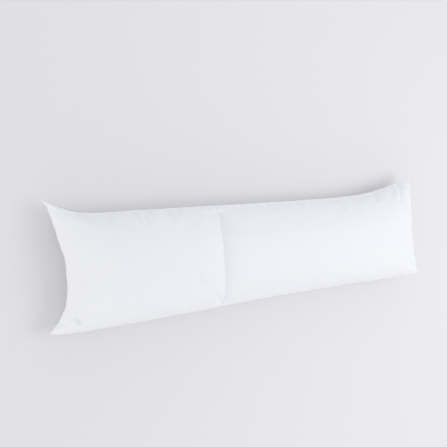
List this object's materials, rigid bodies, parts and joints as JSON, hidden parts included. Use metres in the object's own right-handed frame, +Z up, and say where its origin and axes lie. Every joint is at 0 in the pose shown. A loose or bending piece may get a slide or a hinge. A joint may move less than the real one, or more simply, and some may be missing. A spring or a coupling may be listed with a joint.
{
  "type": "body pillow",
  "caption": "Long filled body pillow of plain white cotton with a knife-edge seam, four ears and one crease across its face, lying on its back.",
  "frame": {"origin": "middle of the base of the pillow's box, on the surface it lies on", "axes": "+X along the pillow, +Y across it towards the long seam that is drawn in the more, +Z up out of its face"},
  "size_m": [1.46, 0.3882, 0.1944],
  "materials": {
    "white_cotton": "plain woven white cotton, matt, with a fine even weave"
  },
  "bodies": {
    "root": {"pillow": "white_cotton"}
  },
  "joints": []
}
